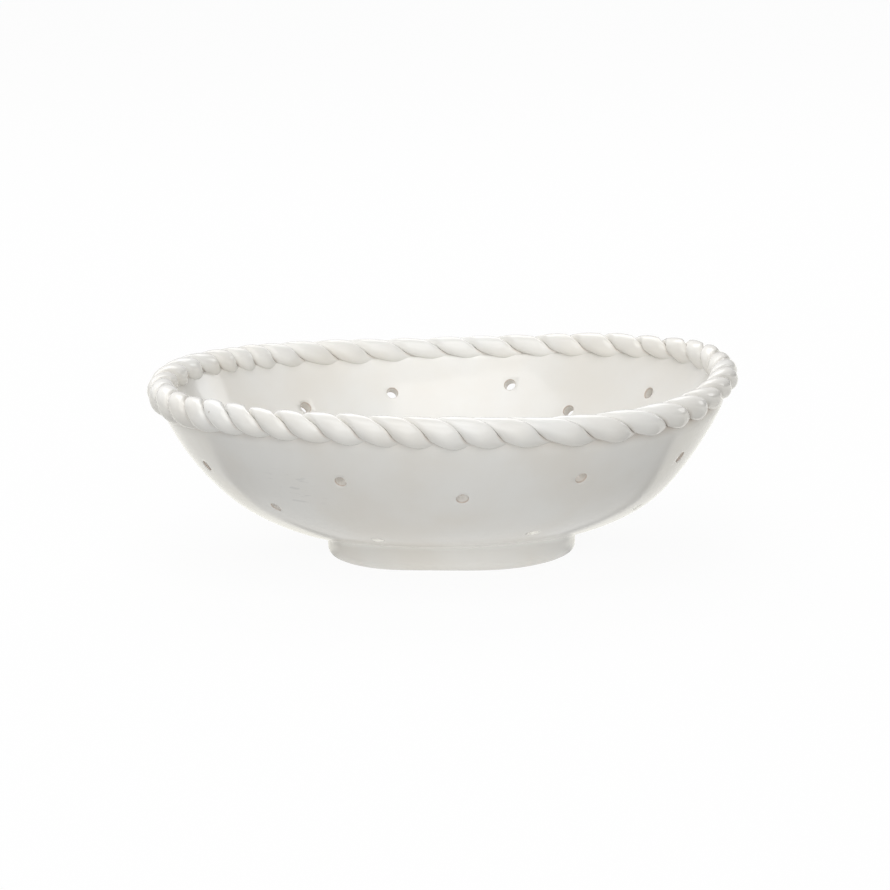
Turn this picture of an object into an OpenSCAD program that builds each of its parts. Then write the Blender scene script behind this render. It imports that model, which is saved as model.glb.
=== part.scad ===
// Berry colander bowl: a glazed ceramic bowl on a foot ring, pierced with drain holes,
// with a rim of two strands of clay twisted into a rope.
// Millimetres, +Z up. The origin is on the bowl's axis, on the table.
// Angles run anticlockwise from +X, seen from above.

/* [Bowl] */
// Radius of the flat middle of the floor
floor_r = 34; // [20:1:36]
// Height of the floor's underside above the table
floor_z = 7; // [6:0.5:10]
// Radius of the arc by which the floor begins to rise
floor_arc = 94; // [85:1:105]
// Slope where that arc ends, in degrees from level
floor_slope = 31; // [27:1:35]
// Radius of the arc that turns the floor into the wall
bilge_arc = 70; // [62:1:80]
// Slope where that arc ends, in degrees from level
bilge_slope = 45; // [42:1:50]
// Radius of the arc of the wall
wall_arc = 125; // [110:1:150]
// Thickness of the wall and the floor
wall_t = 5; // [4:0.25:6]

/* [Rim] */
// Mean height of the rope's centre line
rim_h = 73.6; // [66:0.2:80]
// Height of the sway that lifts two opposite sides of the rim
sway_two = 2.15; // [0:0.05:3]
// Height of the sway that lifts three sides of the rim
sway_three = 1.65; // [0:0.05:2.5]
// Direction of the side that both sways lift
lift_at = 22; // [0:1:359]

/* [Rope] */
// Radius of one strand
strand_r = 4.25; // [3.8:0.05:4.7]
// Distance from the rope's centre line to a strand's centre
strand_out = 1.85; // [1.4:0.05:2.3]
// How far the rope's centre line lies inside the middle of the wall
rope_in = 0.6; // [0:0.1:1.5]
// Whole turns of the twist around the rim
rope_turns = 22; // [16:1:28]
// Direction of the groove between the strands at angle 0
lay_start = 21; // [0:1:179]
// How far the twist is drawn out of place by hand, in degrees around the rim
lay_shift = 6.3; // [0:0.1:8]
// Where it is drawn out most
lay_shift_at = 284; // [0:1:359]
// Spread of the drawn out stretch
lay_shift_span = 25.5; // [22:0.5:40]
// Distance from the rope's centre line to the edge of the wall on which it sits
seat_d = 3.3; // [2.9:0.1:3.9]
// Outward tilt of that edge, in degrees from square to the wall
seat_tilt = 12; // [0:1:20]
// Thickness of the slip that joins the clay pieces
slip_t = 0.05; // [0.02:0.01:0.1]

/* [Foot ring] */
// Outer radius of the ring
foot_r = 53.5; // [50:0.25:58]
// Width of the ring, from its outside to its inside
foot_w = 15; // [13.5:0.25:17]
// How far the ring sits off the bowl's axis, along X
foot_off = 2.5; // [0:0.1:4]
// Width of the round of the ring's outer side
foot_round_w = 10.5; // [6:0.25:11.5]
// Height of the round of the ring's outer side
foot_round_h = 5.5; // [3:0.25:6]
// Squareness of that round, where 2 is an oval
foot_square = 3; // [2:0.25:4]
// Radius of the round on the inner lower edge
foot_edge = 1.5; // [0.5:0.25:2.5]
// Size of the bead where the ring's outside meets the bowl
foot_bead = 2; // [1:0.25:3]

/* [Drain holes] */
// Diameter of a hole
hole_d = 5; // [4:0.25:6]
// Radius of the ring of holes in the floor
floor_holes_r = 21; // [12:1:28]
// Holes in that ring, around the one in the middle
floor_holes = 5; // [3:1:7]

/* [Hidden] */
$fn = 180;

glaze = [0.95, 0.94, 0.92];
inner_glaze = [0.93, 0.91, 0.88];

// Holes in the wall: angle, and height of the hole's middle on the outside
upper_holes = [
    [5, 50], [35, 56], [57.4, 44.4], [74, 54], [102, 51], [125, 48], [150, 50],
    [177, 46], [205, 48.2], [247.5, 50.2], [274, 42.7], [301, 48.6], [334.5, 48.7]
];
lower_holes = [
    [18, 31], [48, 23], [80, 30], [113, 22], [146, 31], [172, 24],
    [223.4, 33.1], [249.7, 20.1], [295.5, 22.2], [335.5, 25.8]
];

// Rings along one turn of the twist
turn_rings = 12;
// Angles of a strand's outline, counted from the direction of the strand's centre
outline_steps = 9;
outline = [for (i = [0 : outline_steps]) -90 + 180 * i / outline_steps];
// Straight steps that follow the swaying edge of the wall, an arc of the wall and a rounded edge
edge_steps = 132;
arc_steps = 9;
round_steps = 8;

// Length of a drill that passes right through a wall
drill_h = 3 * wall_t;
// How far the cut that trims the wall's edge reaches to each side of the rope's centre line
trim_reach = 4 * wall_t;
// Inner radius of the foot ring, and the most of its outer side that its round may take up
foot_in_r = foot_r - foot_w;
round_share = 0.9;

// Outward normal of the bowl's outside where its slope is a, as [radius, height]
function normal(a) = [sin(a), -cos(a)];
// Direction up the wall where its slope is a
function upward(a) = [cos(a), sin(a)];

// Centres of the three arcs of the outside, each tangent to the last, and the points where they join
floor_c = [floor_r, floor_z + floor_arc];
bilge_start = floor_c + floor_arc * normal(floor_slope);
bilge_c = bilge_start - bilge_arc * normal(floor_slope);
wall_start = bilge_c + bilge_arc * normal(bilge_slope);
wall_c = wall_start - wall_arc * normal(bilge_slope);

// The arc that the outside follows at height z, as [centre, radius]
function arc_at(z) = z < bilge_start.y ? [floor_c, floor_arc]
    : z < wall_start.y ? [bilge_c, bilge_arc]
    : [wall_c, wall_arc];
function slope_at(z) = let (arc = arc_at(z)) acos((arc[0].y - z) / arc[1]);
function outside_at(z) = let (arc = arc_at(z)) arc[0] + arc[1] * normal(slope_at(z));

// The rope's centre line follows the wall along this arc
rope_arc = wall_arc - wall_t / 2 - rope_in;
rim_top = rim_h + sway_two + sway_three;
function rim_z(t) = rim_h + sway_two * cos(2 * (t - lift_at)) + sway_three * cos(3 * (t - lift_at));
function rim_slope(t) = acos((wall_c.y - rim_z(t)) / rope_arc);
// A point beside the rope's centre line at angle t: out along the wall's normal, and up the wall
function rim_point(t, out, up) =
    let (
        a = rim_slope(t),
        p = wall_c + (rope_arc + out) * normal(a) + up * upward(a)
    ) [p.x * cos(t), p.x * sin(t), p.y];

// The angle t, turned by whole rounds to lie between -180 and 180
function around(t) = t - 360 * floor(t / 360 + 0.5);
// How far the twist is out of place at angle t
function shift(t) = lay_shift * exp(-pow(around(t - lay_shift_at) / lay_shift_span, 2));
// Direction of the groove around the rope's centre line at angle t
function lay(t) = lay_start - rope_turns * (t + shift(t));
// Distance from the rope's centre line to a strand's skin, at angle b from the strand's centre
function skin(b) = strand_out * cos(b) + sqrt(pow(strand_r, 2) - pow(strand_out * sin(b), 2));
// The same in direction d, flattened where the strand is pressed onto the wall's edge
function pressed(d, b) =
    let (drop = -sin(d + seat_tilt)) drop * skin(b) > seat_d ? seat_d / drop : skin(b);

// Points along an arc between two slopes, from step first on
function arc_line(centre, radius, from, to, first) = [
    for (i = [first : arc_steps]) centre + radius * normal(from + (to - from) * i / arc_steps)
];
// The line of the wall at a depth below its outside, from the floor to above the highest edge
function wall_line(depth) = concat(
    arc_line(floor_c, floor_arc - depth, 0, floor_slope, 0),
    arc_line(bilge_c, bilge_arc - depth, floor_slope, bilge_slope, 1),
    arc_line(wall_c, wall_arc - depth, bilge_slope, slope_at(rim_top), 1)
);
function reversed(list) = [for (i = [len(list) - 1 : -1 : 0]) list[i]];

module shell_profile() {
    polygon(concat(
        [[0, floor_z]], wall_line(0), reversed(wall_line(wall_t)), [[0, floor_z + wall_t]]
    ));
}

// What lies above the wall's edge: a ring with a swaying underside
module above_edge() {
    depth = -seat_d - slip_t;
    square = [
        [-trim_reach, depth], [trim_reach, depth],
        [trim_reach, trim_reach], [-trim_reach, trim_reach]
    ];
    across = [cos(seat_tilt), -sin(seat_tilt)];
    along = [sin(seat_tilt), cos(seat_tilt)];
    corners = [for (c = square) c.x * across + c.y * along];
    sides = len(corners);
    points = [
        for (i = [0 : edge_steps - 1], c = corners)
            rim_point(i * 360 / edge_steps, c.x, c.y)
    ];
    faces = [
        for (i = [0 : edge_steps - 1], k = [0 : sides - 1])
            let (
                j = (i + 1) % edge_steps,
                a = i * sides + k,
                b = i * sides + (k + 1) % sides,
                c = j * sides + (k + 1) % sides,
                d = j * sides + k
            ) each [[a, b, c], [a, c, d]]
    ];
    polyhedron(points, faces);
}

module drain(angle, height) {
    middle = outside_at(height) - wall_t / 2 * normal(slope_at(height));
    rotate(angle)
        translate([middle.x, 0, middle.y])
            rotate([0, 180 - slope_at(height), 0])
                cylinder(d = hole_d, h = drill_h, center = true);
}

module floor_drain() {
    translate([0, 0, floor_z + wall_t / 2]) cylinder(d = hole_d, h = drill_h, center = true);
}

module bowl_shell() {
    color(inner_glaze) difference() {
        rotate_extrude() shell_profile();
        above_edge();
        for (h = concat(upper_holes, lower_holes)) drain(h[0], h[1]);
        floor_drain();
        for (i = [0 : floor_holes - 1])
            rotate(i * 360 / floor_holes) translate([floor_holes_r, 0, 0]) floor_drain();
    }
}

// A part of a unit circle's point, drawn out towards the corner of a square
function squared(v, square) = sign(v) * pow(abs(v), 2 / square);
// Points of a quarter of an oval from one direction to the next, anticlockwise
function quarter(centre, size, from, square = 2) = [
    for (i = [0 : round_steps])
        let (a = from + 90 * i / round_steps)
            centre + [size.x * squared(cos(a), square), size.y * squared(sin(a), square)]
];

// The ring's section, carried up into the bowl
module foot_profile() {
    outer_z = floor_c.y - sqrt(pow(floor_arc, 2) - pow(foot_r - foot_off - floor_r, 2));
    side_z = outer_z - foot_bead;
    round = [foot_round_w, min(foot_round_h, round_share * side_z)];
    polygon(concat(
        quarter([foot_in_r + foot_edge, foot_edge], [foot_edge, foot_edge], 180),
        quarter([foot_r - round.x, round.y], round, 270, foot_square),
        [
            [foot_r, side_z],
            [foot_r + foot_bead + wall_t, outer_z + wall_t],
            [foot_in_r, outer_z + wall_t]
        ]
    ));
}

module foot_ring() {
    color(glaze) difference() {
        translate([foot_off, 0, 0]) rotate_extrude() foot_profile();
        translate([0, 0, -slip_t])
            rotate_extrude() polygon(concat(wall_line(0), [[0, rim_top], [0, floor_z]]));
    }
}

// One strand: its outline turns around the rope's centre line, and its flat side lies on the other strand
module strand(turned) {
    rings = rope_turns * turn_rings;
    sides = len(outline) + 1;
    points = [
        for (i = [0 : rings - 1])
            let (t = i * 360 / rings, middle = lay(t) + 90 + turned)
                each concat(
                    [rim_point(t, slip_t / 2 * cos(middle), slip_t / 2 * sin(middle))],
                    [
                        for (b = outline)
                            let (
                                d = middle + b,
                                r = pressed(d, b),
                                s = abs(b) == 90 ? slip_t / 2 : 0
                            )
                                rim_point(
                                    t,
                                    r * cos(d) + s * cos(middle),
                                    r * sin(d) + s * sin(middle)
                                )
                    ]
                )
    ];
    faces = [
        for (i = [0 : rings - 1], k = [0 : sides - 1])
            let (
                j = (i + 1) % rings,
                a = i * sides + k,
                b = i * sides + (k + 1) % sides,
                c = j * sides + (k + 1) % sides,
                d = j * sides + k
            ) each k == sides - 1 ? [[a, b, d], [b, c, d]] : [[a, b, c], [a, c, d]]
    ];
    polyhedron(points, faces);
}

module rope_strand_a() {
    color(glaze) strand(0);
}

module rope_strand_b() {
    color(glaze) strand(180);
}

bowl_shell();
foot_ring();
rope_strand_a();
rope_strand_b();
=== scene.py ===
"""A glazed berry colander bowl: a pierced shell, a foot ring and a rope rim of clay."""
from math import acos, atan2, copysign, cos, exp, hypot, pi, radians, sin, sqrt, tau

import bmesh
import bpy
from mathutils import Matrix, Vector, noise


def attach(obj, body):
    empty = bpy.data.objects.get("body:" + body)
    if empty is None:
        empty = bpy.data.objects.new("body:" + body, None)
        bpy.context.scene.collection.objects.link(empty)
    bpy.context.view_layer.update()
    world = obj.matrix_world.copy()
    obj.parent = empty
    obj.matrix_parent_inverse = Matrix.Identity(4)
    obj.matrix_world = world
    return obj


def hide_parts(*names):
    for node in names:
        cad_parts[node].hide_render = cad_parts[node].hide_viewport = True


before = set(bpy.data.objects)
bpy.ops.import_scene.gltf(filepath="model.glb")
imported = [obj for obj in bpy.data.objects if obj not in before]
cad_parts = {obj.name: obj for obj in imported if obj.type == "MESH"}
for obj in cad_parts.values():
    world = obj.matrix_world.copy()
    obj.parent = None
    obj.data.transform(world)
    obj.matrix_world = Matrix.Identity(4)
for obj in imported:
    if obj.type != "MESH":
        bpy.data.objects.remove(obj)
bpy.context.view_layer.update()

# The bowl's sizes are in millimetres, as in the part's own source. Finished meshes and the
# studio are in metres, and angles are written in degrees.
MM = 0.001
UP = Vector((0, 0, 1))
ACROSS = Vector((1, 0, 0))

# Points this close are one point, and slivers this thin are cleared
MERGE = 0.001
SLIVER = 0.02

# The bowl's outside is three arcs, each tangent to the last
FLOOR_R = 34
FLOOR_Z = 7
FLOOR_ARC = 94
FLOOR_SLOPE = radians(31)
BILGE_ARC = 70
BILGE_SLOPE = radians(45)
WALL_ARC = 125
WALL_T = 5

# The swaying rim
RIM_H = 73.6
SWAY_TWO = 2.15
SWAY_THREE = 1.65
LIFT_AT = radians(22)

# The rope
STRAND_R = 4.25
STRAND_OUT = 1.85
ROPE_IN = 0.6
ROPE_TURNS = 22
LAY_START = radians(21)
LAY_SHIFT = radians(6.3)
LAY_SHIFT_AT = radians(284)
LAY_SHIFT_SPAN = radians(25.5)
SEAT_D = 3.3
GROOVE_W = 0.55

# The foot ring, off the bowl's axis, its side rounded between an oval and a square
FOOT_R = 53.5
FOOT_W = 15
FOOT_OFF = 2.5
FOOT_ROUND = Vector((10.5, 5.5))
FOOT_SQUARE = 3
FOOT_EDGE = 1.5
FOOT_FILLET = 3

# Drain holes: angle around the bowl, and height of the hole's middle on the outside
HOLE_R = 2.5
WALL_HOLES = (
    (5, 50), (35, 56), (57.4, 44.4), (74, 54), (102, 51), (125, 48), (150, 50),
    (177, 46), (205, 48.2), (247.5, 50.2), (274, 42.7), (301, 48.6), (334.5, 48.7),
    (18, 31), (48, 23), (80, 30), (113, 22), (146, 31), (172, 24),
    (223.4, 33.1), (247, 16.6), (295.7, 19.8), (335.5, 24.7),
)
FLOOR_HOLES = 5
FLOOR_HOLES_R = 21

# A hole's rounded lip: its radius, the angles that round it, and how far the drill's flare
# goes on out and up past it, as shares of the radius
LIP = 0.4
FLARE = (8, 25, 42, 60, 75, 90)
FLARE_OUT = 1.4
FLARE_UP = 0.3
BEYOND_LIP = HOLE_R + 2 * LIP

# What the potter's hands leave: waves in the wall, and a lower body drawn aside, wider and up
HAND_WAVE = 0.22
HAND_WAVE_SPAN = 38
LEAN_TOP = 52
LEAN_HIGH = -0.37
LEAN_LOW = 1.7
WIDE_HIGH = 0.37
WIDE_LOW = 0.85
LIFT_LEFT = 1.0
LIFT_FRONT = 3.4
LIFT_SPAN = 55
FOOT_WARP = 1.25
FOOT_WARP_AT = radians(266)
FOOT_WARP_SPAN = radians(28)

# A neck under the rope: depth, its share at the front, how far below the rope it starts and is
# deepest, and how soon a face counts as the outside. The wall's edge is drawn up into the rope.
NECK = 1.9
NECK_FRONT = 0.35
NECK_SPAN = (10, 5)
NECK_OUTER = 0.02
EDGE_LIFT = 1

# Uneven strands, as waves around the rim: how many, how high and where they start
STRAND_SWELL = ((1, 0.085, 3.05), (7, 0.03, 0.4), (13, 0.025, 2.1), (31, 0.02, 4.4))
STRAND_STRAY = ((1, 0.6, 0), (5, 0.2, 1.0), (11, 0.15, 3.3))
LAY_STRAY = ((6, 0.05, 0.7), (15, 0.05, 5.2))

# The strands are filled out towards one round rope on its upper side, and twist on its faces
STRAND_FILL = 0.65
STRAND_FILL_W = 1.6
FILL_FROM = 0.35
FILL_OVER = 1
FACE_TWIST = 1.2

# Where fingers pressed the soft rope: place around the rim and span, then out, up and swell
PRESSED = ((202, 16, 0, -1, 0.12), (130, 24, 0, -0.6, 0.1), (343, 15, -1.2, 0, 0))

# The top of the rope is smoothed nearly flat at the front
SMOOTHED = 0.85
SMOOTHED_AT = radians(284)
SMOOTHED_SPAN = radians(26)

# The hand laid the rope tighter in two places: from, to, and the share of one added turn
TIGHT_LAY = ((122, 154, 0.64), (208, 254, 0.36))

# Attributes of a mesh's points: 1 where shade is painted, partly as thin glaze, on a hole's lip,
# in a crease of the rope and in the neck under it; 1 where glaze pooled white with a painted
# highlight, in the low holes and the fillet over the foot; and 1 where the glaze was rubbed
SHADE_AND_THIN = "painted_shade_and_thin_glaze"
POOLED_AND_HIGHLIGHT = "pooled_glaze_and_painted_highlight"
SCUFFED = "scuffed_glaze"

# How strong the painted shade is in the neck, in a crease and deep in a hole, and how far
# creases and lips reach. Holes below a height have pooled glaze with a painted highlight, and
# the wall was rubbed around one place.
NECK_SHADE = 0.7
CREASE_SHADE = 0.36
HOLE_SHADE = 0.25
CREASE_W = 0.9
LIP_DEPTH = 1
POOL_BELOW = 30
SCUFFED_AT = Vector((-59, -83, 49))
SCUFFED_SPAN = (19, 8)

# How finely the meshes are cut
COLUMNS = 256
FLAT_STEPS = 12
ARC_STEPS = (22, 8, 22)
BULLNOSE_STEPS = 8
ROUND_STEPS = 8
TURN_RINGS = 26
ROPE_RINGS = ROPE_TURNS * TURN_RINGS
ROPE_SIDES = 26
DRILL_SIDES = 36


# Curves

def waves(table, t):
    """Sum of slow waves around the rim."""
    return sum(size * sin(count * t + start) for count, size, start in table)


def ease(x):
    """0 below 0, 1 above 1 and smooth between."""
    x = min(1, max(0, x))
    return x * x * (3 - 2 * x)


def near(t, place, span):
    """1 at a place around the rim, falling off smoothly over a span."""
    away = (t - place + pi) % tau - pi
    return exp(-((away / span) ** 2))


def no_less(x, least, round_w):
    """x, but no less than least, with the bend between the two rounded."""
    return least + ((x - least) + sqrt((x - least) ** 2 + round_w ** 2)) / 2


def normal(slope):
    """Outward normal, as radius and height, where the bowl's outside has this slope from level."""
    return Vector((sin(slope), -cos(slope)))


def upward(slope):
    """Direction up the wall where it has this slope."""
    return Vector((cos(slope), sin(slope)))


# The arcs' centres and joints, as radius and height
floor_c = Vector((FLOOR_R, FLOOR_Z + FLOOR_ARC))
bilge_start = floor_c + FLOOR_ARC * normal(FLOOR_SLOPE)
bilge_c = bilge_start - BILGE_ARC * normal(FLOOR_SLOPE)
wall_start = bilge_c + BILGE_ARC * normal(BILGE_SLOPE)
wall_c = wall_start - WALL_ARC * normal(BILGE_SLOPE)
rope_arc = WALL_ARC - WALL_T / 2 - ROPE_IN


def rim_z(t):
    """Height of the rope's centre line around the rim."""
    return RIM_H + SWAY_TWO * cos(2 * (t - LIFT_AT)) + SWAY_THREE * cos(3 * (t - LIFT_AT))


def rim_slope(height):
    """Slope of the wall where the rope's centre line has this height."""
    return acos((wall_c.y - height) / rope_arc)


def edge_slope(height):
    """Slope of the wall where its rounded edge ends under the rope."""
    return rim_slope(height) - (SEAT_D + WALL_T / 2) / rope_arc


ARCS = (
    (floor_c, FLOOR_ARC, 0, FLOOR_SLOPE, ARC_STEPS[0]),
    (bilge_c, BILGE_ARC, FLOOR_SLOPE, BILGE_SLOPE, ARC_STEPS[1]),
    (wall_c, WALL_ARC, BILGE_SLOPE, edge_slope(RIM_H), ARC_STEPS[2]),
)


def outside_at(height):
    """Point and slope of the bowl's outside at this height."""
    centre, radius = (floor_c, FLOOR_ARC)
    if height > bilge_start.y:
        centre, radius = (bilge_c, BILGE_ARC)
    if height > wall_start.y:
        centre, radius = (wall_c, WALL_ARC)
    slope = acos((centre.y - height) / radius)
    return centre + radius * normal(slope), slope


def underside(radius):
    """Height of the bowl's underside at this distance from the bowl's axis."""
    beyond = max(0, radius - FLOOR_R)
    return floor_c.y - sqrt(FLOOR_ARC ** 2 - beyond ** 2)


# Meshes

def spun(bm, points, steps, centre, axis, side):
    """Spins a line of points, each (distance from the axis, place along it), once round an axis."""
    start = [bm.verts.new(centre + side * p[0] + axis * p[1]) for p in points]
    edges = [bm.edges.new(pair) for pair in zip(start, start[1:])]
    bmesh.ops.spin(
        bm, geom=start + edges, cent=centre, axis=axis, angle=tau, steps=steps, use_merge=True
    )


def closed(bm):
    """Joins the seams and poles and turns every face outwards."""
    bmesh.ops.remove_doubles(bm, verts=bm.verts, dist=MERGE)
    bmesh.ops.recalc_face_normals(bm, faces=bm.faces)


def piece(bm, name):
    """A smooth object, in metres, from a mesh made in millimetres."""
    bmesh.ops.scale(bm, vec=(MM, MM, MM), verts=bm.verts)
    for face in bm.faces:
        face.smooth = True
    mesh = bpy.data.meshes.new(name)
    bm.to_mesh(mesh)
    bm.free()
    obj = bpy.data.objects.new(name, mesh)
    bpy.context.scene.collection.objects.link(obj)
    return obj


def wall_line(depth):
    """Points from the middle of the floor to the wall's edge, at a depth below the outside."""
    line = [Vector((FLOOR_R * i / FLAT_STEPS, FLOOR_Z + depth)) for i in range(FLAT_STEPS + 1)]
    for centre, radius, low, high, steps in ARCS:
        line += [
            centre + (radius - depth) * normal(low + (high - low) * (i + 1) / steps)
            for i in range(steps)
        ]
    return line


def bullnose():
    """Rounded edge of the wall, from the outside over to the inside."""
    slope = edge_slope(RIM_H)
    middle = wall_c + (WALL_ARC - WALL_T / 2) * normal(slope)
    turns = [pi * i / BULLNOSE_STEPS for i in range(1, BULLNOSE_STEPS)]
    return [
        middle + WALL_T / 2 * (cos(a) * normal(slope) + sin(a) * upward(slope)) for a in turns
    ]


def follow_rim(point):
    """Stretches the wall up or down so that its edge follows the swaying rim."""
    t = atan2(point.y, point.x)
    radius = hypot(point.x, point.y)
    from_c = Vector((radius, point.z)) - wall_c
    slope = atan2(from_c.x, -from_c.y)
    if slope <= BILGE_SLOPE or radius < wall_c.x or point.z < bilge_start.y:
        return point
    lifted = edge_slope(rim_z(t)) + (EDGE_LIFT + waves(STRAND_STRAY, t)) / rope_arc
    stretch = (lifted - BILGE_SLOPE) / (edge_slope(RIM_H) - BILGE_SLOPE)
    moved = wall_c + from_c.length * normal(BILGE_SLOPE + (slope - BILGE_SLOPE) * stretch)
    return Vector((moved.x * cos(t), moved.x * sin(t), moved.y))


def lowness(height):
    """1 at the underside, falling to 0 up the wall."""
    return ease((LEAN_TOP - height) / (LEAN_TOP - FLOOR_Z))


def lift(x, y):
    """How far the underside was drawn up, at the left of the foot and before it."""
    return max(LIFT_LEFT * ease(-x / LIFT_SPAN), LIFT_FRONT * ease(-y / LIFT_SPAN))


def drawn(point):
    """Moves a point as the soft body was drawn: aside, wider low down, and up by the foot."""
    low = lowness(point.z)
    wide = WIDE_HIGH + (WIDE_LOW - WIDE_HIGH) * low
    wider = 1 + wide / max(FLOOR_R, hypot(point.x, point.y))
    aside = LEAN_HIGH + (LEAN_LOW - LEAN_HIGH) * low
    up = low * low * lift(point.x, point.y)
    return Vector((point.x * wider + aside, point.y * wider, point.z + up))


def neck_share(point, direction):
    """How deep a point of the outside lies in the neck under the rope, most at the sides."""
    t = atan2(point.y, point.x)
    below = rim_z(t) - point.z
    outer = ease(NECK_OUTER * (direction.x * point.x + direction.y * point.y))
    sides = NECK_FRONT + (1 - NECK_FRONT) * cos(t) ** 2
    return sides * outer * ease((NECK_SPAN[0] - below) / (NECK_SPAN[0] - NECK_SPAN[1]))


def by_hand(vert):
    """Uneven wall: slow waves along the normal, and thinned to a neck under the rope."""
    wave = HAND_WAVE * noise.noise(vert.co / HAND_WAVE_SPAN)
    return drawn(vert.co + vert.normal * (wave - NECK * neck_share(vert.co, vert.normal)))


def drill_line():
    """Half outline of a drill whose ends flare, so that the glaze rounds both lips of a hole."""
    turns = [radians(a) for a in FLARE]
    half = WALL_T / 2
    lip = [Vector((HOLE_R + LIP * (1 - sin(a)), half - LIP * (1 - sin(pi / 2 - a)))) for a in turns]
    outer = Vector((HOLE_R + FLARE_OUT * LIP, half + FLARE_UP * LIP))
    deep = Vector((HOLE_R, half - LIP_DEPTH))
    top = [Vector((0, half + LIP)), Vector((outer.x, half + LIP)), outer] + lip + [deep]
    return top + [Vector((p.x, -p.y)) for p in reversed(top)]


def hole_places():
    """Middle, axis and a side direction of every drain hole."""
    places = []
    for angle, height in WALL_HOLES:
        point, slope = outside_at(height)
        middle = point - WALL_T / 2 * normal(slope)
        turn = Matrix.Rotation(radians(angle), 3, "Z")
        axis = turn @ Vector((sin(slope), 0, -cos(slope)))
        centre = drawn(turn @ Vector((middle.x, 0, middle.y)))
        places.append((centre, axis, turn @ Vector((0, 1, 0))))
    floor_middle = Vector((0, 0, FLOOR_Z + WALL_T / 2))
    spread = [Vector()]
    for i in range(FLOOR_HOLES):
        t = tau * i / FLOOR_HOLES
        spread.append(FLOOR_HOLES_R * Vector((cos(t), sin(t), 0)))
    return places + [(drawn(floor_middle + offset), -UP, ACROSS) for offset in spread]


def drills(places):
    """All drain holes as one cutting mesh."""
    bm = bmesh.new()
    line = drill_line()
    for centre, axis, side in places:
        spun(bm, line, DRILL_SIDES, centre, axis, side)
    closed(bm)
    return piece(bm, "drills")


def without_slivers(mesh):
    """Clears the slivers that drilling leaves along the lips."""
    bm = bmesh.new()
    bm.from_mesh(mesh)
    bmesh.ops.triangulate(bm, faces=bm.faces)
    bmesh.ops.remove_doubles(bm, verts=bm.verts, dist=SLIVER * MM)
    bmesh.ops.dissolve_degenerate(bm, edges=bm.edges, dist=SLIVER * MM)
    alike = {}
    for face in bm.faces:
        alike.setdefault(frozenset(face.verts), []).append(face)
    doubled = [face for faces in alike.values() if len(faces) > 1 for face in faces]
    bmesh.ops.delete(bm, geom=doubled, context="FACES")
    bmesh.ops.recalc_face_normals(bm, faces=bm.faces)
    bm.to_mesh(mesh)
    bm.free()


def rubbed(point, direction):
    """How much the glaze was rubbed at a point of the outside."""
    if direction.dot(SCUFFED_AT) <= 0:
        return 0
    far, close = SCUFFED_SPAN
    return ease((far - (point - SCUFFED_AT).length) / (far - close))


def hole_by(point, places):
    """Middle of the hole by a point, and how far the point is from it along and off its axis."""
    for centre, axis, _ in places:
        offset = point - centre
        if offset.length < WALL_T:
            depth = abs(offset.dot(axis))
            return centre, depth, sqrt(max(0, offset.length_squared - depth ** 2))
    return None


def mark_shade_and_glaze(mesh, places):
    """Marks the shell's painted shade in the neck and holes, partly thin glaze at the lips, pooled
    glaze with a painted highlight in the low holes, and where the glaze was rubbed.
    """
    shade_mark, pool_highlight, scuffed = (
        mesh.attributes.new(name, "FLOAT", "POINT") for name in (SHADE_AND_THIN, POOLED_AND_HIGHLIGHT, SCUFFED)
    )
    from_axis = {}
    for vert in mesh.vertices:
        point = vert.co / MM
        # Painted shade in the neck under the rope, deepest at the sides
        shade_mark.data[vert.index].value = NECK_SHADE * neck_share(point, vert.normal)
        scuffed.data[vert.index].value = rubbed(point, vert.normal)
        hole = hole_by(point, places)
        if hole is None:
            continue
        centre, depth, away = hole
        from_axis[vert.index] = away
        within = 1 - ease((away - HOLE_R) / LIP)
        # Low holes get pooled glaze with a painted highlight; the others get painted shade,
        # strongest at both lips, where thin glaze adds to it
        if FLOOR_Z + WALL_T < centre.z < POOL_BELOW:
            pool_highlight.data[vert.index].value = within
        else:
            lip = ease((depth - WALL_T / 2) / LIP_DEPTH + 1)
            shade_mark.data[vert.index].value = within * (HOLE_SHADE + (1 - HOLE_SHADE) * lip)
    # The wall shares the outermost points of a lip, so these stay unmarked
    for edge in mesh.edges:
        away = [from_axis.get(index, WALL_T) for index in edge.vertices]
        if min(away) < BEYOND_LIP < max(away):
            for index in edge.vertices:
                shade_mark.data[index].value = 0


def bowl_shell():
    """The thrown bowl, drilled."""
    bm = bmesh.new()
    outline = wall_line(0) + bullnose() + wall_line(WALL_T)[::-1]
    spun(bm, outline, COLUMNS, Vector(), UP, ACROSS)
    closed(bm)
    for vert in bm.verts:
        vert.co = follow_rim(vert.co)
    bm.normal_update()
    moved = [by_hand(vert) for vert in bm.verts]
    for vert, place in zip(bm.verts, moved):
        vert.co = place
    shell = piece(bm, "glazed_shell")
    places = hole_places()
    cutter = drills(places)
    cut = shell.modifiers.new("drain_holes", "BOOLEAN")
    cut.operation = "DIFFERENCE"
    cut.solver = "EXACT"
    cut.object = cutter
    graph = bpy.context.evaluated_depsgraph_get()
    drilled = bpy.data.meshes.new_from_object(shell.evaluated_get(graph))
    shell.modifiers.clear()
    shell.data = drilled
    without_slivers(drilled)
    mark_shade_and_glaze(drilled, places)
    bpy.data.objects.remove(cutter)
    return shell


def squared(value, square):
    """A part of a unit circle's point, drawn out towards the corner of a square."""
    return copysign(abs(value) ** (2 / square), value)


def quarter(centre, size, start, square=2):
    """Points of a quarter of an oval, anticlockwise from a direction."""
    turns = [start + pi / 2 * i / ROUND_STEPS for i in range(ROUND_STEPS + 1)]
    return [
        centre + Vector((size.x * squared(cos(a), square), size.y * squared(sin(a), square)))
        for a in turns
    ]


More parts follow.
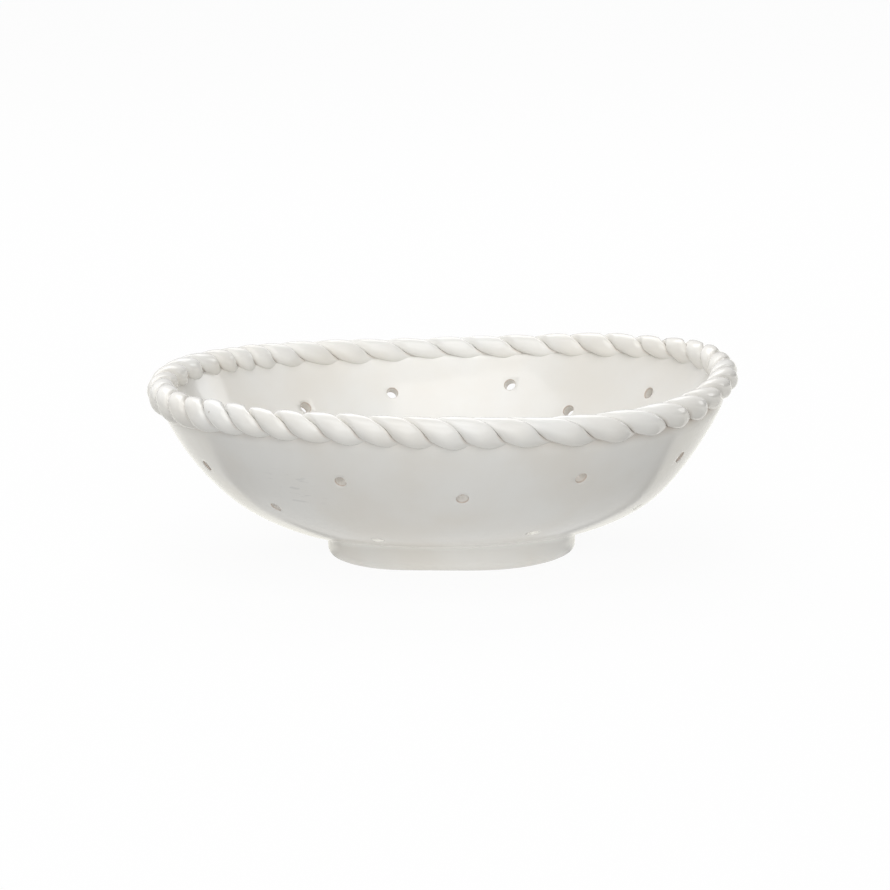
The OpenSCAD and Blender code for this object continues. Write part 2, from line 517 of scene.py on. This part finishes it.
def foot_line():
    """The ring's section: inside, contact ring, rounded side and the fillet into the bowl."""
    inside = FOOT_R - FOOT_W
    edge = Vector((FOOT_EDGE, FOOT_EDGE))
    fillet = Vector((FOOT_FILLET, FOOT_FILLET))
    side = Vector((FOOT_R - FOOT_ROUND.x, FOOT_ROUND.y))
    side_z = underside(FOOT_R + FOOT_FILLET) - FOOT_FILLET
    buried = WALL_T / 4
    top = Vector((inside, FLOOR_Z + buried))
    return (
        [top, Vector((inside, FLOOR_Z / 2))]
        + quarter(Vector((inside, 0)) + edge, edge, pi)
        + quarter(side, FOOT_ROUND, 3 * pi / 2, FOOT_SQUARE)
        + quarter(Vector((FOOT_R + FOOT_FILLET, side_z)), fillet, pi / 2)[::-1]
        + [Vector((FOOT_R + FOOT_FILLET, underside(FOOT_R) + buried + FOOT_FILLET / 2)), top]
    )


def foot_ring():
    """The foot ring, off the bowl's axis, its top following the bowl's underside."""
    bm = bmesh.new()
    spun(bm, foot_line(), COLUMNS, Vector(), UP, ACROSS)
    closed(bm)
    pool_highlight = bm.verts.layers.float.new(POOLED_AND_HIGHLIGHT)
    for vert in bm.verts:
        own = hypot(vert.co.x, vert.co.y)
        # Pooled glaze with a painted highlight along the fillet over the foot
        vert[pool_highlight] = ease((own - FOOT_R) / FOOT_FILLET)
        vert.co.x += FOOT_OFF
        under = hypot(vert.co.x - LEAN_LOW, vert.co.y) - WIDE_LOW
        lifted = underside(under) + lift(vert.co.x, vert.co.y)
        warp = FOOT_WARP * near(atan2(vert.co.y, vert.co.x), FOOT_WARP_AT, FOOT_WARP_SPAN)
        vert.co.z = warp + vert.co.z / underside(own) * (lifted - warp)
    return piece(bm, "glazed_foot")


def lay(t):
    """Direction of the groove between the strands, around the rope's centre line."""
    shift = LAY_SHIFT * near(t, LAY_SHIFT_AT, LAY_SHIFT_SPAN)
    added = sum(share * ease((t - radians(a)) / radians(b - a)) for a, b, share in TIGHT_LAY)
    return LAY_START - ROPE_TURNS * (t + shift) - tau * added + waves(LAY_STRAY, t)


def pressed(t):
    """How far the rope is pressed out, up and thicker at a place around the rim."""
    return sum(
        (near(t, radians(place), radians(span)) * Vector(press) for place, span, *press in PRESSED),
        Vector((0, 0, 0)),
    )


def strand_point(t, around, turned):
    """A point of a strand's skin, and the painted shade there, in a crease of the rope.

    t goes around the rim, around about the strand's own middle, and turned picks the strand.
    """
    toward = lay(t) + pi / 2 + turned
    slope = rim_slope(rim_z(t))
    press = pressed(t)
    girth = 1 + waves(STRAND_SWELL, t) + press.z
    deep = no_less(girth * (STRAND_OUT + STRAND_R * cos(around)), 0, GROOVE_W)
    wide = girth * STRAND_R * sin(around)
    out = deep * cos(toward) - wide * sin(toward)
    up = deep * sin(toward) + wide * cos(toward)
    away = max(hypot(deep, wide), GROOVE_W)
    top = (up * sin(slope) - out * cos(slope)) / away
    upper = ease((top + FILL_FROM) / FILL_OVER)
    smoothed = upper * SMOOTHED * near(t, SMOOTHED_AT, SMOOTHED_SPAN)
    fill = upper * STRAND_FILL * ease((deep - GROOVE_W) / STRAND_FILL_W)
    fill += (1 - fill) * smoothed
    grow = 1 + fill * (girth * (STRAND_OUT + STRAND_R) / away - 1)
    p = wall_c + (rope_arc + grow * out + press.x) * normal(slope)
    p += (grow * up + waves(STRAND_STRAY, t) + press.y) * upward(slope)
    along = t + FACE_TWIST * sin(2 * atan2(up, out)) / p.x
    # Painted shade in the creases on the rope's lower side
    crease = CREASE_SHADE * (1 - upper) * (1 - ease((deep - GROOVE_W / 2) / CREASE_W))
    return drawn(Vector((p.x * cos(along), p.x * sin(along), p.y))), crease


def rope_strand(name, turned):
    """One strand of the rope, closed on itself around the rim."""
    bm = bmesh.new()
    bmesh.ops.create_grid(bm, x_segments=ROPE_RINGS, y_segments=ROPE_SIDES, size=1)
    shade_mark = bm.verts.layers.float.new(SHADE_AND_THIN)
    for vert in bm.verts:
        vert.co, vert[shade_mark] = strand_point((vert.co.x + 1) * pi, (vert.co.y + 1) * pi, turned)
    closed(bm)
    return piece(bm, name)


# Finishes

# The glaze in its warm and cool clouds, pooled white with painted highlights, brown where shade
# is painted, partly thin glaze, and the bare clay of the contact ring
GLAZE_WARM = (0.82, 0.795, 0.745, 1)
GLAZE_COOL = (0.86, 0.855, 0.83, 1)
GLAZE_POOLED_HIGHLIGHT = (1, 0.99, 0.95, 1)
SHADE_AND_THIN_GLAZE = (0.60, 0.51, 0.44, 1)
CLAY = (0.66, 0.56, 0.46, 1)
BARE_Z = 0.35 * MM

# Clouds of colour and of gloss: scale and detail, and the span of the noise that they use
CLOUDS = (22, 4)
GLOSS_CLOUDS = (35, 3)
CLOUD_SPAN = (0.3, 0.7)
ROUGHNESS = (0.07, 0.13)

# Specks: colour, how many to a metre, their rim, the clouds that hold them, and their strength
SPECK = (0.42, 0.37, 0.31, 1)
SPECK_CELLS = 95
SPECK_RIM = (0.07, 0.04)
SPECK_CLOUDS = (0.6, 0.66)
SPECK_SHARE = 0.6

# Scuffs: colour, strength, the stretch of the strokes, their scale and detail, and their rim
SCUFF = (0.62, 0.62, 0.61, 1)
SCUFF_SHARE = 0.4
SCUFF_STRETCH = (0.3, 0.3, 1.6)
SCUFF_STROKES = (420, 2)
SCUFF_RIM = (0.56, 0.66)

# The uneven skin, slow and fine: scale, detail, strength and depth
SLOW_SKIN = (45, 1, 0.25, 0.001)
FINE_SKIN = (170, 2, 0.1, 0.0005)


def set_or_link(tree, socket, value):
    """Gives a socket a fixed value, or another node's output."""
    if isinstance(value, (tuple, int, float)):
        socket.default_value = value
    else:
        tree.links.new(value, socket)


def maths(tree, operation, first, second):
    """A maths node's output; each side is a socket or a number."""
    node = tree.nodes.new("ShaderNodeMath")
    node.operation = operation
    set_or_link(tree, node.inputs[0], first)
    set_or_link(tree, node.inputs[1], second)
    return node.outputs["Value"]


def blended(tree, share, first, second, kind="RGBA"):
    """Mix of two colours or numbers; each is a socket or a fixed value."""
    node = tree.nodes.new("ShaderNodeMix")
    node.data_type = kind
    factor, *ends = [socket for socket in node.inputs if socket.enabled]
    tree.links.new(share, factor)
    for socket, value in zip(ends, (first, second)):
        set_or_link(tree, socket, value)
    return next(socket for socket in node.outputs if socket.enabled)


def map_range(tree, value, span, to=(0, 1)):
    """Smooth step of a value over a span, from one result to another."""
    node = tree.nodes.new("ShaderNodeMapRange")
    node.interpolation_type = "SMOOTHSTEP"
    limits = zip(("From Min", "From Max", "To Min", "To Max"), (*span, *to))
    for name, limit in limits:
        node.inputs[name].default_value = limit
    tree.links.new(value, node.inputs["Value"])
    return node.outputs["Result"]


def noise_of(tree, place, scale, detail):
    """Noise from 0 to 1 at a place."""
    node = tree.nodes.new("ShaderNodeTexNoise")
    node.inputs["Scale"].default_value = scale
    node.inputs["Detail"].default_value = detail
    tree.links.new(place, node.inputs["Vector"])
    return node.outputs["Fac"]


def place_on(tree):
    """The place of a point in its object's own frame."""
    return tree.nodes.new("ShaderNodeTexCoord").outputs["Object"]


def parts_of(tree, place):
    """X, Y and Z of a place."""
    node = tree.nodes.new("ShaderNodeSeparateXYZ")
    tree.links.new(place, node.inputs["Vector"])
    return node.outputs


def mark_of(tree, name):
    """An attribute of the mesh's points."""
    node = tree.nodes.new("ShaderNodeAttribute")
    node.attribute_name = name
    return node.outputs["Fac"]


def scuffs(tree, place):
    """Faint level strokes, where something rubbed the front of the wall."""
    stretch = tree.nodes.new("ShaderNodeMapping")
    stretch.inputs["Scale"].default_value = SCUFF_STRETCH
    tree.links.new(place, stretch.inputs["Vector"])
    strokes = noise_of(tree, stretch.outputs["Vector"], *SCUFF_STROKES)
    strokes = map_range(tree, strokes, SCUFF_RIM, (0, SCUFF_SHARE))
    return maths(tree, "MULTIPLY", strokes, mark_of(tree, SCUFFED))


def specks(tree, place, cloud):
    """Rare specks, only where the clouds are coolest."""
    cells = tree.nodes.new("ShaderNodeTexVoronoi")
    cells.inputs["Scale"].default_value = SPECK_CELLS
    tree.links.new(place, cells.inputs["Vector"])
    spot = map_range(tree, cells.outputs["Distance"], SPECK_RIM)
    few = map_range(tree, cloud, SPECK_CLOUDS, (0, SPECK_SHARE))
    return maths(tree, "MULTIPLY", spot, few)


def uneven(tree, place, skin, below=None):
    """Bumps of an uneven skin, laid over those below."""
    scale, detail, strength, depth = skin
    node = tree.nodes.new("ShaderNodeBump")
    node.inputs["Strength"].default_value = strength
    node.inputs["Distance"].default_value = depth
    tree.links.new(noise_of(tree, place, scale, detail), node.inputs["Height"])
    if below is not None:
        tree.links.new(below, node.inputs["Normal"])
    return node.outputs["Normal"]


def glaze(name):
    """White glaze: warm and cool clouds, painted shade partly as thin glaze, pooled glaze with
    painted highlights, scuffs, rare specks and a soft uneven skin.
    """
    material = bpy.data.materials.new(name)
    material.use_nodes = True
    tree = material.node_tree
    shader = tree.nodes["Principled BSDF"]
    place = place_on(tree)
    cloud = noise_of(tree, place, *CLOUDS)
    colour = blended(tree, map_range(tree, cloud, CLOUD_SPAN), GLAZE_WARM, GLAZE_COOL)
    shade_mark = map_range(tree, mark_of(tree, SHADE_AND_THIN), (0, 1))
    # Painted shade in the neck, the rope's creases and the holes, partly thin glaze
    colour = blended(tree, shade_mark, colour, SHADE_AND_THIN_GLAZE)
    # Pooled white glaze, with a painted highlight in the low holes and the fillet over the foot
    colour = blended(tree, mark_of(tree, POOLED_AND_HIGHLIGHT), colour, GLAZE_POOLED_HIGHLIGHT)
    colour = blended(tree, scuffs(tree, place), colour, SCUFF)
    colour = blended(tree, specks(tree, place, cloud), colour, SPECK)
    bare = map_range(tree, parts_of(tree, place)["Z"], (BARE_Z * 2, BARE_Z))
    gloss = map_range(tree, noise_of(tree, place, *GLOSS_CLOUDS), CLOUD_SPAN, ROUGHNESS)
    skin = uneven(tree, place, FINE_SKIN, uneven(tree, place, SLOW_SKIN))
    tree.links.new(blended(tree, bare, colour, CLAY), shader.inputs["Base Color"])
    tree.links.new(maths(tree, "MAXIMUM", gloss, bare), shader.inputs["Roughness"])
    tree.links.new(skin, shader.inputs["Normal"])
    return material


# Studio

WHITE = (1, 1, 1, 1)

# The camera, fitted to the photograph: pixels of the photograph to a metre at the bowl, and the
# pixel where the bowl's middle stands
CAMERA_AT = 2.5
CAMERA_UP = radians(9.78)
CAMERA_ROLL = radians(0.96)
SENSOR_W = 36
PHOTO_SIDE = 890
PHOTO_SCALE = 2313
LOOK_Z = 0.040
LOOK_PIXEL = (444.4, 462.1)

# The table as the camera sees it
FLOOR_HALF = 8
FLOOR_COLOUR = (0.9, 0.9, 0.9, 1)
FLOOR_WHITE = 0.93

# The table as it lights the bowl: bright behind the bowl's middle, and softly lit before it,
# most of all under the bowl
TABLE_COLOUR = (0.2, 0.2, 0.2, 1)
TABLE_WARMTH = (1, 0.994, 0.97, 1)
NEAR_GLOW = 0.32
FAR_GLOW = 0.57
FAR_SPAN = (-0.13, -0.3)
UNDER_GLOW = 0.62
UNDER_SPAN = (0.13, 0.09)
BEHIND_WARMTH = (1, 0.985, 0.915, 1)
BEHIND_GLOW = 0.31
BEHIND_WHITE_IN_GLOSS = 0.9
BEHIND_SPAN = (-0.008, 0.008)

# A dim strip along the edge of the bright part, right of EDGE_FROM, which only gloss shows
EDGE_SPAN = (-0.02, -0.009)
EDGE_FROM = (-0.085, -0.065)
EDGE_DIM = 0.45

# White sides of the studio: degrees round from the camera to the right, degrees up, and brightness
STUDIO_SIDES = (
    (0, 0, 0.61), (0, 35, 1.45), (60, 5, 0.13), (90, 35, 0.08), (135, 35, 0.12), (180, 35, 0.7),
    (225, 0, 0.4), (225, 35, 0.55), (285, 15, 0.12), (0, 90, 0.3),
)
SIDE_SPREAD = (cos(radians(50)), cos(radians(12)))
WINDOW = (125, 17, 2.1)
WINDOW_SPREAD = (cos(radians(10)), cos(radians(8)))

# Softboxes: name, place, tilt, turn, size and power
SOFT_LAMPS = (
    ("top_box", (-0.33, -0.58, 1.5), 0, 8.6, (1.55, 0.95), 6.4),
    ("back_box", (0, 1.3, 1.3), -46, 0, (1.4, 1), 6),
)


def camera():
    """Stands where the photograph was taken from: far off, a little above the rim."""
    data = bpy.data.cameras.new("camera")
    data.sensor_width = SENSOR_W
    focal = PHOTO_SCALE * CAMERA_AT
    data.lens = data.sensor_width * focal / PHOTO_SIDE
    obj = bpy.data.objects.new("camera", data)
    bpy.context.scene.collection.objects.link(obj)
    target = Vector((0, 0, LOOK_Z))
    obj.location = target + CAMERA_AT * Vector((0, -cos(CAMERA_UP), sin(CAMERA_UP)))
    right = (LOOK_PIXEL[0] - PHOTO_SIDE / 2) / focal
    down = (LOOK_PIXEL[1] - PHOTO_SIDE / 2) / focal
    level = (target - obj.location).to_track_quat("-Z", "Y").to_matrix()
    roll = Matrix.Rotation(-CAMERA_ROLL, 3, "Z")
    aim = Matrix.Rotation(down, 3, "X") @ Matrix.Rotation(right, 3, "Y")
    obj.rotation_euler = (level @ roll @ aim).to_euler()
    bpy.context.scene.camera = obj


def gloss_ray(tree):
    """1 where a ray comes from a gloss or glass, else 0."""
    path = tree.nodes.new("ShaderNodeLightPath")
    glossy, through = path.outputs["Is Glossy Ray"], path.outputs["Is Transmission Ray"]
    return maths(tree, "MAXIMUM", glossy, through)


def camera_ray(tree):
    """1 where a ray comes from the camera, else 0."""
    return tree.nodes.new("ShaderNodeLightPath").outputs["Is Camera Ray"]


def table_glow(tree):
    """How brightly, and in what colour, the table shines on the bowl, place by place."""
    place = place_on(tree)
    x, y, _ = parts_of(tree, place)
    away = tree.nodes.new("ShaderNodeVectorMath")
    away.operation = "LENGTH"
    tree.links.new(place, away.inputs[0])
    far = map_range(tree, y, FAR_SPAN, (0, FAR_GLOW - NEAR_GLOW))
    under = map_range(tree, away.outputs["Value"], UNDER_SPAN, (0, UNDER_GLOW - NEAR_GLOW))
    before = maths(tree, "ADD", maths(tree, "ADD", far, under), NEAR_GLOW)
    edge = map_range(tree, y, EDGE_SPAN, (0, EDGE_DIM))
    edge = maths(tree, "MULTIPLY", edge, map_range(tree, x, EDGE_FROM))
    edge = maths(tree, "MULTIPLY", edge, gloss_ray(tree))
    before = maths(tree, "MULTIPLY", before, maths(tree, "SUBTRACT", 1, edge))
    behind = blended(tree, gloss_ray(tree), BEHIND_GLOW, BEHIND_WHITE_IN_GLOSS, "FLOAT")
    share = map_range(tree, y, BEHIND_SPAN)
    brightness = blended(tree, share, before, behind, "FLOAT")
    return brightness, blended(tree, share, TABLE_WARMTH, BEHIND_WARMTH)


def matt(tree, colour):
    """A matt surface of one colour."""
    node = tree.nodes.new("ShaderNodeBsdfDiffuse")
    node.inputs["Color"].default_value = colour
    return node.outputs["BSDF"]


def glow(tree, colour, strength):
    """A surface that shines; each value is a socket or fixed."""
    node = tree.nodes.new("ShaderNodeEmission")
    set_or_link(tree, node.inputs["Color"], colour)
    set_or_link(tree, node.inputs["Strength"], strength)
    return node.outputs["Emission"]


def either(tree, share, first, second):
    """Mix of two surfaces by a share, a socket or a number."""
    node = tree.nodes.new("ShaderNodeMixShader")
    set_or_link(tree, node.inputs["Fac"], share)
    tree.links.new(first, node.inputs[1])
    tree.links.new(second, node.inputs[2])
    return node.outputs["Shader"]


def studio_floor():
    """Pale table: white to the camera, with the bowl's shadow on it."""
    bm = bmesh.new()
    bmesh.ops.create_grid(bm, x_segments=1, y_segments=1, size=FLOOR_HALF / MM)
    obj = piece(bm, "floor")
    material = bpy.data.materials.new("white_floor")
    material.use_nodes = True
    tree = material.node_tree
    tree.nodes.clear()
    brightness, warmth = table_glow(tree)
    lit = tree.nodes.new("ShaderNodeAddShader")
    tree.links.new(matt(tree, TABLE_COLOUR), lit.inputs[0])
    tree.links.new(glow(tree, warmth, brightness), lit.inputs[1])
    seen = either(tree, FLOOR_WHITE, matt(tree, FLOOR_COLOUR), glow(tree, WHITE, 1))
    out = tree.nodes.new("ShaderNodeOutputMaterial")
    surface = either(tree, camera_ray(tree), lit.outputs["Shader"], seen)
    tree.links.new(surface, out.inputs["Surface"])
    obj.data.materials.append(material)


def studio_side(tree, place, side, spread):
    """Light from one side of the studio, fading out around its middle."""
    turned, up, brightness = side
    flat = cos(radians(up))
    facing = tree.nodes.new("ShaderNodeVectorMath")
    facing.operation = "DOT_PRODUCT"
    tree.links.new(place, facing.inputs[0])
    facing.inputs[1].default_value = (
        sin(radians(turned)) * flat, -cos(radians(turned)) * flat, sin(radians(up))
    )
    return map_range(tree, facing.outputs["Value"], spread, (0, brightness))


def surroundings():
    """Studio whose sides differ in brightness, with a backdrop that is white to the camera."""
    world = bpy.data.worlds.new("studio")
    bpy.context.scene.world = world
    world.use_nodes = True
    tree = world.node_tree
    back = tree.nodes["Background"]
    back.inputs["Color"].default_value = WHITE
    place = tree.nodes.new("ShaderNodeTexCoord").outputs["Generated"]
    light = studio_side(tree, place, WINDOW, WINDOW_SPREAD)
    for side in STUDIO_SIDES:
        light = maths(tree, "ADD", light, studio_side(tree, place, side, SIDE_SPREAD))
    tree.links.new(blended(tree, camera_ray(tree), light, 1, "FLOAT"), back.inputs["Strength"])


def soft_lamp(name, place, tilt, turn, size, power):
    """A softbox that faces down, tilted towards the back or front and turned about the upright."""
    data = bpy.data.lights.new(name, "AREA")
    data.shape = "RECTANGLE"
    data.size, data.size_y = size
    data.energy = power
    obj = bpy.data.objects.new(name, data)
    bpy.context.scene.collection.objects.link(obj)
    obj.location = place
    obj.rotation_euler = (radians(tilt), 0, radians(turn))


def build():
    """Makes the four pieces, glazes them and gives each its place in the part."""
    finish = glaze("white_glaze")
    made = (
        (bowl_shell(), "bowl_shell"),
        (foot_ring(), "foot_ring"),
        (rope_strand("rope_a", 0), "rope_strand_a"),
        (rope_strand("rope_b", pi), "rope_strand_b"),
    )
    for obj, node in made:
        obj.data.materials.clear()
        obj.data.materials.append(finish)
        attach(obj, "root")
        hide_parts(node)


build()
camera()
studio_floor()
surroundings()
for lamp in SOFT_LAMPS:
    soft_lamp(*lamp)
bpy.context.scene.view_settings.view_transform = "Standard"
